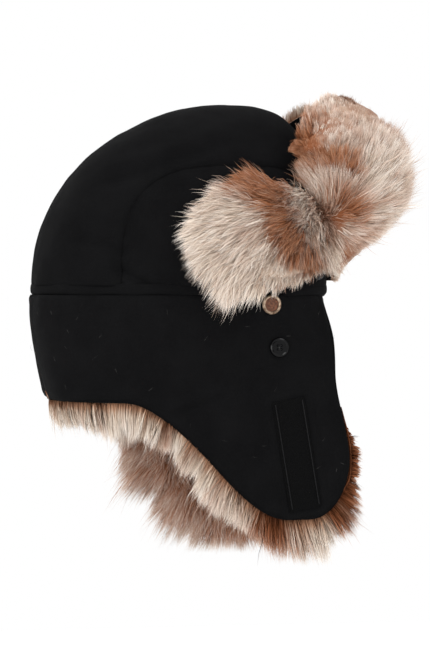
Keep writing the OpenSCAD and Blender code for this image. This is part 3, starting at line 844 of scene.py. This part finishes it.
def visor():
    """The hair fans out from the pinch at each tacked corner and lies forward under the brow"""
    V, U = np.meshgrid(np.linspace(0, 1, 49), np.linspace(-1, 1, 97), indexing="ij")
    side_top = smooth((abs(U) - 0.25) / 0.3)
    V2 = V * (1 + np.where(U < 0, 0.065, 0.02) * smooth((abs(U) - 0.1) / 0.75))
    skin = visor_point(U, V2)
    vn = grid_normals(skin, CENTRE)
    edge = np.minimum(np.minimum(V, 1 - V) * 60, (1 - abs(U)) * 60)
    pile = skin + (PILE_HEIGHT * smooth(edge / PILE_EDGE + 0.3))[..., None] * vn
    inset = U * (1 - 0.05 * smooth((abs(U) - 0.8) / 0.2))
    back_face = visor_point(inset, V2)
    o = slab("visor_cloth", back_face + (pile - skin), back_face, black)
    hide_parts("visor_shell", "visor_interlining")
    blend_visor(o)
    tv, tu = unit(np.gradient(pile, axis=0)), unit(np.gradient(pile, axis=1))
    pinch = visor_point(np.where(U < 0, -1.02, 1.02), 0 * V + PINCH_V)
    near = smooth(abs(U) / 0.6)[..., None]
    rim = smooth((abs(U) - 0.88) / 0.12)
    vflow = project(pile - pinch, vn) * near + tv * (1 - near) * 0.9
    vflow = vflow + tu * (np.sign(U) * rim * 0.9)[..., None] + 0.15 * tv
    vtint = visor_tint(U, V, pile)
    vlen = 6 + 29 * smooth((V - 0.17) / 0.41) - mix(25, 22, side_top) * smooth((V - 0.68) / 0.26) - 3 * rim
    outward = (0.8 * smooth((V - 0.84) / 0.14) * (1 - side_top))[..., None]
    vflow = mix(vflow, tu * np.sign(U)[..., None] - 0.3 * tv, outward)
    vflow = unit(mix(unit(vflow), -tv, (0.35 * smooth((0.12 - V) / 0.1))[..., None]))
    lay = smooth((V - 0.8) / 0.2) * mix(-16, -4, side_top)
    depth = mix(2.0, 10.0, smooth((V - 0.05) / 0.45))
    o = pelt("visor_undercoat", pile, vn, depth, vtint, 0.34, 41)
    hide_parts("visor_fur")
    blend_visor(o)
    parts = ("right", slice(0, 27)), ("middle", slice(26, 71)), ("left", slice(70, 97))
    for k, (word, cols) in enumerate(parts):
        fields = [field[:, cols] for field in (pile, vn, vflow, vlen, vtint)]
        o, root, per_strand = grow("visor_hair_" + word, *fields, STRANDS, weight=(1 + 1.6 * rim)[:, cols],
                                   lay=lay[:, cols], lean=(30, 66), droop=-0.1, seed=50 + k, wild=0.01,
                                   jitter=0.14)
        blend_visor(o, np.repeat(visor_weight(root), per_strand))


visor()

WING_F, WING_Z, WING_HALF_F, WING_HALF_Z = 14, 38, 48, 36
TACK_F, TACK_Z = 68, 56
WING_PATCHES = (((0, 76), (27, 64)), ((27, 64), (30, 46)), ((30, 46), (41, 24)))


def wing(side, word):
    """The visor's end on the crown's side, where the hair flows back and down from the tacked corner"""
    B, A = np.meshgrid(np.linspace(-1, 1, 41), np.linspace(-1, 1, 41), indexing="ij")
    qf = WING_F + WING_HALF_F * A * np.sqrt(1 - B * B / 2)
    qz = WING_Z + WING_HALF_Z * B * np.sqrt(1 - A * A / 2)
    df = crown_above(side, qf + 2, qz) - crown_above(side, qf - 2, qz)
    dz = crown_above(side, qf, qz + 2) - crown_above(side, qf, qz - 2)
    n = unit(np.cross(dz, df)) * side
    df, dz = unit(df), unit(dz)
    skin = crown_above(side, qf, qz)
    pile = skin + 3.3 * n
    o = slab("wing_cloth_" + word, pile, skin + 1.5 * n, black)
    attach(o, "hat")
    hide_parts("visor_wing_shell_" + word)
    from_tack_f, from_tack_z = qf - TACK_F, qz - TACK_Z
    m = np.hypot(from_tack_f, from_tack_z) + 1e-6
    # a longer tuft hangs at the wing's lower rear, and the hair is short along its lower front
    tuft = np.exp(-(((qf + 14) / 17) ** 2) - ((qz - 10) / 14) ** 2)
    flow = (from_tack_f / m - 0.2 + 0.25 * tuft)[..., None] * df
    flow = flow + (from_tack_z / m - 0.15 - 0.75 * tuft)[..., None] * dz
    tint = 0.01 + 0.3 * patches(pile, 22, 61 + side, -0.1) + 0.12 * patches(pile, 12, 62)
    for (f0, z0), (f1, z1) in WING_PATCHES:
        t = ((qf - f0) * (f1 - f0) + (qz - z0) * (z1 - z0)) / ((f1 - f0) ** 2 + (z1 - z0) ** 2)
        t = np.clip(t, 0, 1)
        away = np.hypot(qf - mix(f0, f1, t), qz - mix(z0, z1, t))
        tint = np.maximum(tint, 1.1 * np.exp(-((away / 11.5) ** 4)))
    tint = np.maximum(tint, 1.1 * np.exp(-(((qf - 62) / 14) ** 2) - ((qz - 60) / 22) ** 2))
    long = 31 + 14 * tuft - 17 * smooth((qf + 2) / 26) * smooth((34 - qz) / 18) - 3 * smooth((30 - m) / 14)
    o = pelt("wing_undercoat_" + word, pile, n, 9.0, tint, 0.36, 71)
    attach(o, "hat")
    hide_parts("visor_wing_fur_" + word)
    o, _, _ = grow("wing_hair_" + word, pile, n, flow, long, tint, STRANDS, lay=6 * smooth((28 - m) / 14),
                   lean=(32, 74), droop=0.2, seed=80 + side, wild=0.1)
    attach(o, "hat")


for side, word in SIDES:
    wing(side, word)

# ---- Fur lining of the curtain: an inner pile, and a fringe that spills past the hem
LINT_ROWS = slice(3, 62)


def inner_pile(side, word):
    """The curtain's fur lining, which parts at the hem, and a little lint on the cloth outside"""
    eta, z = curtain_sheet(72, 36, 66, -5.0)
    face = curtain_point(side, eta, z)
    n = -curtain_normal(eta, z) * [side, 1, 1]
    f = -face[..., 1]
    base = face + 5.4 * n
    down, along = unit(np.gradient(base, axis=0)), unit(np.gradient(base, axis=1))
    bottom = np.linalg.norm(face - face[-1:], axis=-1)
    rim = smooth(1 - bottom / 30)
    hem_in = project(np.cross(along[-1:], n[-1:]) * np.ones((72, 1, 1)), n)
    hem_in = hem_in * np.sign(np.sum(hem_in * [0, 0, 1], axis=-1, keepdims=True))
    flow = down * (0.8 - 0.6 * rim[..., None]) + hem_in * (0.9 * rim * smooth((f + 45) / 30))[..., None]
    flow = flow - 0.25 * along
    tint = 0.1 + 0.7 * patches(base, 22, 91, 0.0) + 0.25 * patches(base, 10, 92)
    tint = tint + 0.8 * smooth(1 - bottom / 26)
    o = pelt("curtain_undercoat_" + word, base, n, 6.5, tint, 0.2, 95)
    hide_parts(*(["curtain_fur"] if side == RIGHT else []), "ear_flap_fur_" + word)
    blend_flap(o, side, word)
    low = smooth((fold_z(f) - z + 4) / 8) * smooth((f + 50) / 10)
    room = clearance(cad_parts["hook_strip"], base + 7 * n) if side == LEFT else 99 + 0 * z
    long = mix(5, 21, smooth((room - 3) / 15))
    for label, share, seed in (("curtain_hair_", 1 - low, 100), ("ear_flap_hair_", low, 110)):
        o, root, per_strand = grow(label + word, base, n, flow, long, tint, INNER_STRANDS,
                                   weight=share * smooth((room - 2) / 4) + 0.001, lean=(26, 66), droop=0.25,
                                   seed=seed + side, slot="curtain_fur", lock=4.0, pull=0.9, wave=2.4,
                                   mess=14)
        blend_flap(o, side, word, np.repeat(flap_weight(root), per_strand))

    outside, out_n, across = (face - 0.7 * n)[LINT_ROWS], -n[LINT_ROWS], along[LINT_ROWS]
    flat = 0 * z[LINT_ROWS]
    o, root, per_strand = grow("lint_" + word, outside, out_n, across, 5 + flat, 0.3 + flat, 36,
                               lean=(74, 88), droop=0, spread=1.5, pull=0, wild=0, width=0.2,
                               seed=140 + side, slot="curtain_fur")
    o.data.materials[0] = lint
    blend_flap(o, side, word, np.repeat(flap_weight(root), per_strand))


NECK_STEPS, FRINGE_ROWS = 40, 11


def hem_path():
    """The fringe's root line: along the neck hem, round the flap and a little way up its front edge"""
    neck_z = np.array(-NECK)
    neck_eta = np.linspace(np.pi / 2, curtain_eta(np.array(FLAP_REAR), neck_z), NECK_STEPS)
    zn = -hem_drop(-curtain_face(neck_eta, neck_z)[:, 1])
    flap_eta = curtain_eta(np.full(NECK_STEPS, FLAP_REAR), zn)
    en = mix(np.pi / 2, flap_eta, np.linspace(0, 1, NECK_STEPS))
    pf, pz = hem(np.linspace(0.01, 1, 90))
    ez = np.linspace(TIP_Z + 1, -88, 12)
    eta = np.concatenate([en, curtain_eta(pf, pz), curtain_eta(front_edge(ez), ez)])
    return eta, np.concatenate([zn, pz, ez])


def hem_fringe(side, word):
    """Long hair that spills past the hem, rooted on a roll of undercoat along the hem path"""
    path_eta, path_z = hem_path()
    line = curtain_point(side, path_eta, path_z)
    nn = curtain_normal(path_eta, path_z) * [side, 1, 1]
    on = unit(np.gradient(line, axis=0))
    out = np.cross(on, nn)
    out = unit(out * np.sign(out[:, 2:3].mean() * -1))
    fl = -line[:, 1]
    front = smooth((fl - 96) / 14) * smooth((path_z + 170) / 30)
    far = smooth((fl + 34) / 30) * smooth((74 - fl) / 30) * (side == LEFT)
    up_front = np.where(fl > 90, smooth((-94 - path_z) / 24), 1)
    size = (1 + 0.2 * noise(line, 9, 98)) * mix(1, 0.3, front) * up_front
    turn = np.linspace(-30, 125, FRINGE_ROWS)[:, None]
    th = np.deg2rad(turn)[..., None]
    dirs = np.cos(th) * out - np.sin(th) * nn
    back_off = 2.2 + (1 - front) * (2.8 + 4.6 * smooth((fl + 40) / 30))
    base = line - 4.8 * nn - back_off[:, None] * out + 1.8 * dirs
    tint = 0.05 + 0.5 * patches(base, 20, 93, -0.2) + 0.16 * patches(base, 11, 94)
    tint = tint - 0.1 * smooth((-fl - 40) / 30)
    tint = tint + 1.2 * np.exp(-(((fl - 54) / 14) ** 4)) * smooth((-110 - path_z) / 20)
    tint = tint + 1.1 * smooth((fl - 96) / 8) + 1.4 * far + 0.75 * smooth((turn - 45) / 40)
    thick = 0.6 + (5.6 + 2 * far) * size * smooth((turn + 60) / 60)
    shade = 0.2 + 0.16 * smooth((turn + 15) / 50)
    o = pelt("hem_undercoat_" + word, base, dirs, thick, tint, shade, 97)
    blend_flap(o, side, word)
    long = 21 + 4 * smooth((fl + 40) / 30) + 8 * smooth((fl - 36) / 26) - 6 * smooth((fl - 86) / 14)
    long = long + 4 * np.exp(-(((fl + 76) / 20) ** 2)) + (19 + 7 * smooth((fl - 5) / 25)) * far
    length = np.maximum(2.0, long * size) * (1 - 0.3 * smooth((turn - 60) / 50))
    sweep = (0.45 + 1.3 * smooth((fl + 50) / 30) * smooth((66 - fl) / 26) * (1 - far))[:, None]
    part = 1 - 2 * smooth((turn - 62) / 26)[..., None]
    flow = out * part + sweep * on * np.sign(-on[:, 2:3] + 0.2) + np.array([0, 0, -0.25]) + 0 * base
    roots = base + 0.5 * thick[..., None] * dirs
    weight = smooth((size - 0.12) / 0.15) * np.ones((FRINGE_ROWS, 1)) + 1e-4
    o, root, per_strand = grow("hem_fringe_" + word, roots, dirs, flow, length, tint, STRANDS,
                               weight=weight, lean=(12, 52), droop=0.15, spread=0.4, seed=120 + side,
                               slot="curtain_fur",
                               lock=2.8, pull=0.6, jitter=0.26, wild=0.03, width=0.62, wave=3.4, mess=19,
                               fade=0.5 + 0.45 * far)
    blend_flap(o, side, word, np.repeat(flap_weight(root), per_strand))


for side, word in SIDES:
    inner_pile(side, word)
    hem_fringe(side, word)

# ---- CAD pieces that keep their shape
LOOK = {"button": plastic, "thread": thread, "stitching": thread, "snap_cap": brass, "snap_back": brass,
        "snap_centre": enamel, "visor_tack": thread, "loop_strip": loop, "hook_strip": hook}
for name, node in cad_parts.items():
    for key, mat in LOOK.items():
        stitched_tape = key in ("loop_strip", "hook_strip") and "stitching" in name
        if key in name and not stitched_tape:
            for s in node.material_slots:
                s.material = mat

# ---- Floor, light and camera
m, nt, b = material("floor")
pale = ramp(nt, noise_node(nt, 3), [(0.3, (0.86, 0.86, 0.86, 1)), (0.7, (0.9, 0.9, 0.9, 1))])
nt.links.new(pale, b.inputs["Base Color"])
b.inputs["Roughness"].default_value = 0.8
FLOOR_MIDDLE, FLOOR_HALF = np.array([0, -30, -360]), 900
corners = np.array([[-1, -1, 0], [1, -1, 0], [1, 1, 0], [-1, 1, 0]])
floor = make("floor", corners * FLOOR_HALF + FLOOR_MIDDLE, [[0, 1, 2, 3]], m)

world = bpy.data.worlds.new("studio")
bpy.context.scene.world = world
world.use_nodes = True
background = world.node_tree.nodes["Background"]
background.inputs["Color"].default_value = (1, 1, 1, 1)
background.inputs["Strength"].default_value = 1.0
bpy.context.scene.view_settings.view_transform = "Standard"


def aimed(name, data, target, azimuth, elevation, distance):
    """A light or camera that looks at the target from metres away; azimuth 0 is the hat's front"""
    a, e = np.deg2rad(azimuth), np.deg2rad(elevation)
    o = bpy.data.objects.new(name, data)
    o.location = target + Vector((np.sin(a) * np.cos(e), -np.cos(a) * np.cos(e), np.sin(e))) * distance
    o.rotation_euler = (target - o.location).to_track_quat("-Z", "Y").to_euler()
    bpy.context.scene.collection.objects.link(o)
    return o


def area_light(name, azimuth, elevation, distance, size, watts):
    lamp = bpy.data.lights.new(name, "AREA")
    lamp.shape, lamp.size, lamp.energy = "DISK", size, watts
    aimed(name, lamp, Vector((0, -0.03, 0)), azimuth, elevation, distance)


area_light("key", 235, 50, 1.6, 0.9, 9)
area_light("front_fill", 300, 25, 1.8, 0.9, 6)
area_light("back_fill", 120, 40, 1.8, 1.0, 7)
area_light("low_fill", 236, -7, 1.9, 0.9, 8)

SENSOR, VIEW_HEIGHT = 36, 0.497  # the sensor in millimetres, and the metres that fill the picture's height
CAMERA_AZIMUTH, CAMERA_ELEVATION, CAMERA_DISTANCE = 258, 0.8, 2.5
AIM_RIGHT, AIM_UP = 0.027, -0.025

cam = bpy.data.cameras.new("camera")
cam.sensor_width, cam.sensor_fit = SENSOR, "AUTO"
cam.lens = SENSOR * CAMERA_DISTANCE / VIEW_HEIGHT
to_right = Vector((np.cos(np.deg2rad(CAMERA_AZIMUTH)), np.sin(np.deg2rad(CAMERA_AZIMUTH)), 0))
aim = to_right * AIM_RIGHT + Vector((0, 0, AIM_UP))
bpy.context.scene.camera = aimed("camera", cam, aim, CAMERA_AZIMUTH, CAMERA_ELEVATION, CAMERA_DISTANCE)
